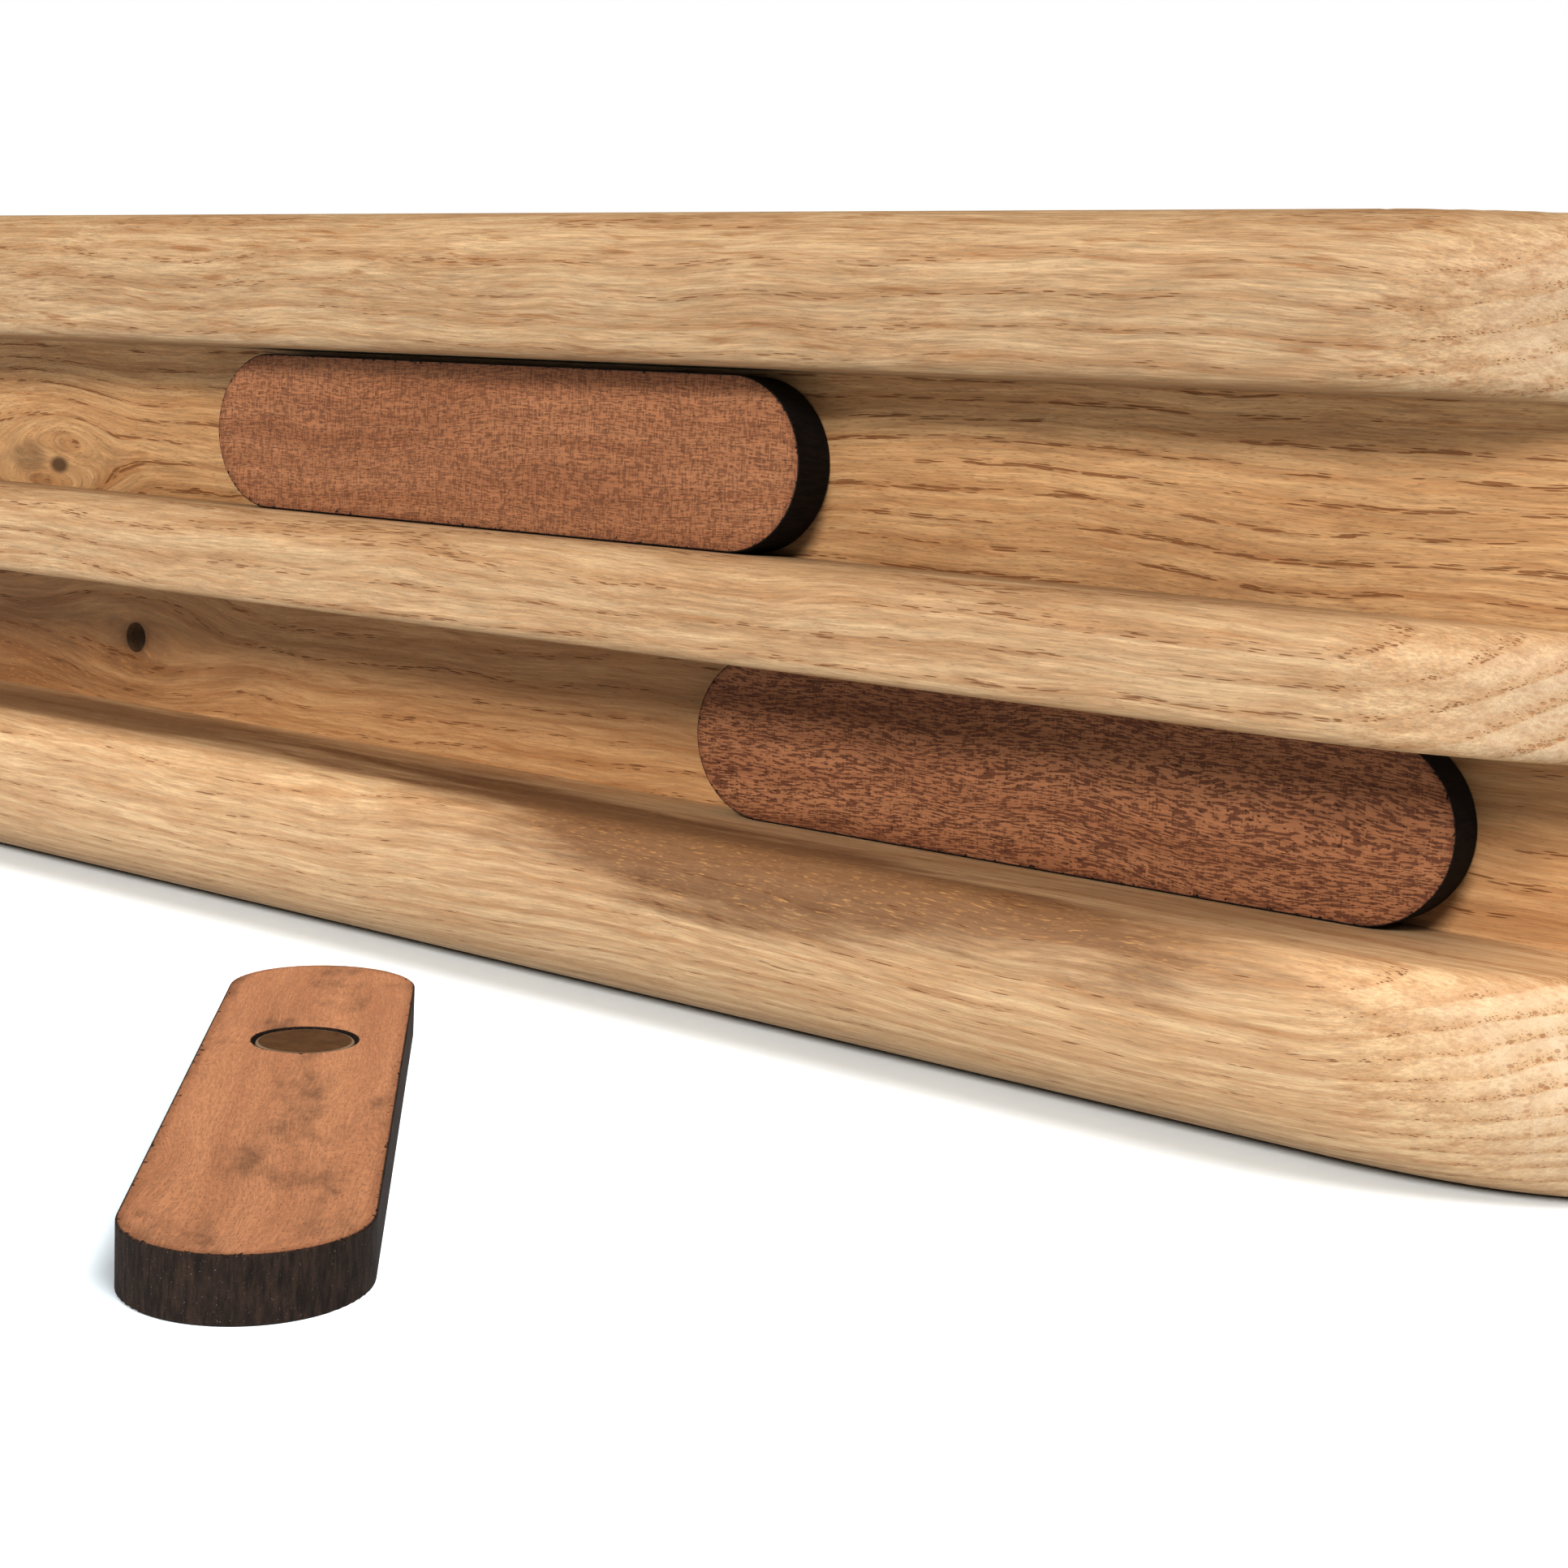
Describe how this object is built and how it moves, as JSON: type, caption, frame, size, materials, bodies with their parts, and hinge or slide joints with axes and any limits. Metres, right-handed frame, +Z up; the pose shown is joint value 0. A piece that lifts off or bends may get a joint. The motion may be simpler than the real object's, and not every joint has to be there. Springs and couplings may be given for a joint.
{
  "type": "climbing fingerboard",
  "caption": "Rounded oak climbing fingerboard with stepped finger grooves that run out at both ends, and loose stadium-shaped wooden inserts with a disc magnet in the back of each.",
  "frame": {"origin": "centre of the flat strip of the underside that the board stands on", "axes": "+X along the board to the right as seen from the front, +Y from the front into the back, +Z up"},
  "size_m": [0.412, 0.1589, 0.1155],
  "materials": {
    "oak": "sanded and lightly oiled oak",
    "red_hardwood": "sanded reddish hardwood with charred laser-cut edges",
    "plated_magnet": "dull plated disc"
  },
  "bodies": {
    "board": {"bottom_rail": "oak", "lower_groove_floor": "oak", "mid_rail": "oak", "upper_groove_floor": "oak", "top_rail": "oak"},
    "upper_insert": {"upper_insert": "red_hardwood", "upper_magnet": "plated_magnet"},
    "lower_insert": {"lower_insert": "red_hardwood", "lower_magnet": "plated_magnet"},
    "loose_insert": {"loose_insert": "red_hardwood", "loose_magnet": "plated_magnet"}
  },
  "joints": [
    {"name": "upper_insert_slide", "type": "slide", "parent": "board", "child": "upper_insert", "axis": [1, 0, 0], "range_m": [-0.134, 0.1]},
    {"name": "lower_insert_pull", "type": "slide", "parent": "board", "child": "lower_insert", "axis": [0, -1, 0], "range_m": [0, 0.045]},
    {"name": "loose_insert_lift", "type": "slide", "parent": "board", "child": "loose_insert", "axis": [0, 0, 1], "range_m": [0, 0.06]}
  ]
}
